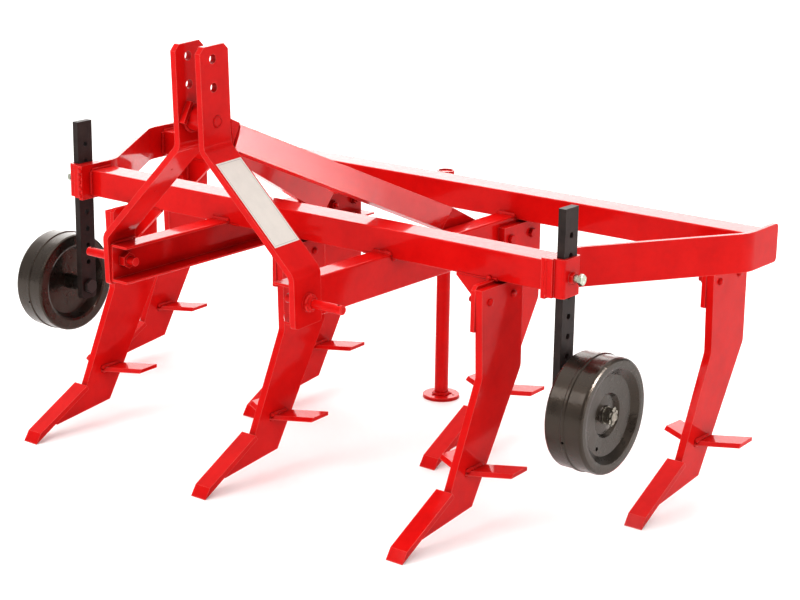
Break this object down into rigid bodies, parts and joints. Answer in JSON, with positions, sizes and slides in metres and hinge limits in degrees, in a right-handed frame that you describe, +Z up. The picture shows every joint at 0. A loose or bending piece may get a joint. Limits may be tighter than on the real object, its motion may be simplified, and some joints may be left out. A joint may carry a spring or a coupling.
{
  "type": "subsoiler",
  "caption": "Tractor-mounted rigid-tine subsoiler: two-beam frame, three-point mast, staggered winged tines, height-set gauge wheels and a parking stand.",
  "frame": {"origin": "middle of the machine's box at floor level", "axes": "+X to the machine's right seen from behind, -Y towards the tractor, +Z up from the floor"},
  "size_m": [2.557, 1.37, 1.4082],
  "materials": {
    "red_paint": "gloss",
    "black_paint": "semi-gloss",
    "dark_steel": "semi-gloss",
    "zinc_steel": "zinc plated"
  },
  "bodies": {
    "frame": {"brace_left": "red_paint", "brace_lug_left": "red_paint", "brace_lug_right": "red_paint", "brace_right": "red_paint", "clamp_screw_left": "zinc_steel", "clamp_screw_right": "zinc_steel", "front_beam": "red_paint", "front_bracket_gussets": "red_paint", "front_point_centre": "red_paint", "front_point_left": "red_paint", "front_point_right": "red_paint", "front_shank_centre": "red_paint", "front_shank_left": "red_paint", "front_shank_right": "red_paint", "front_tine_brackets": "red_paint", "front_wings": "red_paint", "long_rail_left": "red_paint", "long_rail_right": "red_paint", "lower_pin_left": "red_paint", "lower_pin_right": "red_paint", "mast_latch_tab": "red_paint", "mast_leg_left": "red_paint", "mast_leg_right": "red_paint", "mast_spacer": "red_paint", "mast_spacer_pin": "red_paint", "rear_beam": "red_paint", "rear_bracket_gussets": "red_paint", "rear_point_inner_left": "red_paint", "rear_point_inner_right": "red_paint", "rear_point_outer_left": "red_paint", "rear_point_outer_right": "red_paint", "rear_shank_inner_left": "red_paint", "rear_shank_inner_right": "red_paint", "rear_shank_outer_left": "red_paint", "rear_shank_outer_right": "red_paint", "rear_tine_brackets": "red_paint", "rear_wings": "red_paint", "side_plate_left": "red_paint", "side_plate_right": "red_paint", "stand_sleeve": "red_paint", "wheel_clamp_left": "red_paint", "wheel_clamp_right": "red_paint"},
    "wheel_arm_left": {"wheel_arm_left": "black_paint", "wheel_axle_left": "dark_steel"},
    "gauge_wheel_left": {"gauge_wheel_left": "black_paint"},
    "wheel_arm_right": {"wheel_arm_right": "black_paint", "wheel_axle_right": "dark_steel"},
    "gauge_wheel_right": {"gauge_wheel_right": "black_paint"},
    "stand": {"stand_tube": "red_paint", "stand_foot": "red_paint"}
  },
  "joints": [
    {"name": "arm_height_left", "type": "slide", "parent": "frame", "child": "wheel_arm_left", "axis": [0, 0, 1], "range_m": [-0.14, 0.14]},
    {"name": "wheel_spin_left", "type": "hinge", "parent": "wheel_arm_left", "child": "gauge_wheel_left", "pos_m": [-1.106, -0.16428, 0.4], "axis": [1, 0, 0], "continuous": true},
    {"name": "arm_height_right", "type": "slide", "parent": "frame", "child": "wheel_arm_right", "axis": [0, 0, 1], "range_m": [-0.14, 0.14]},
    {"name": "wheel_spin_right", "type": "hinge", "parent": "wheel_arm_right", "child": "gauge_wheel_right", "pos_m": [1.106, -0.16428, 0.4], "axis": [1, 0, 0], "continuous": true},
    {"name": "stand_height", "type": "slide", "parent": "frame", "child": "stand", "axis": [0, 0, 1], "range_m": [0, 0.3]}
  ]
}
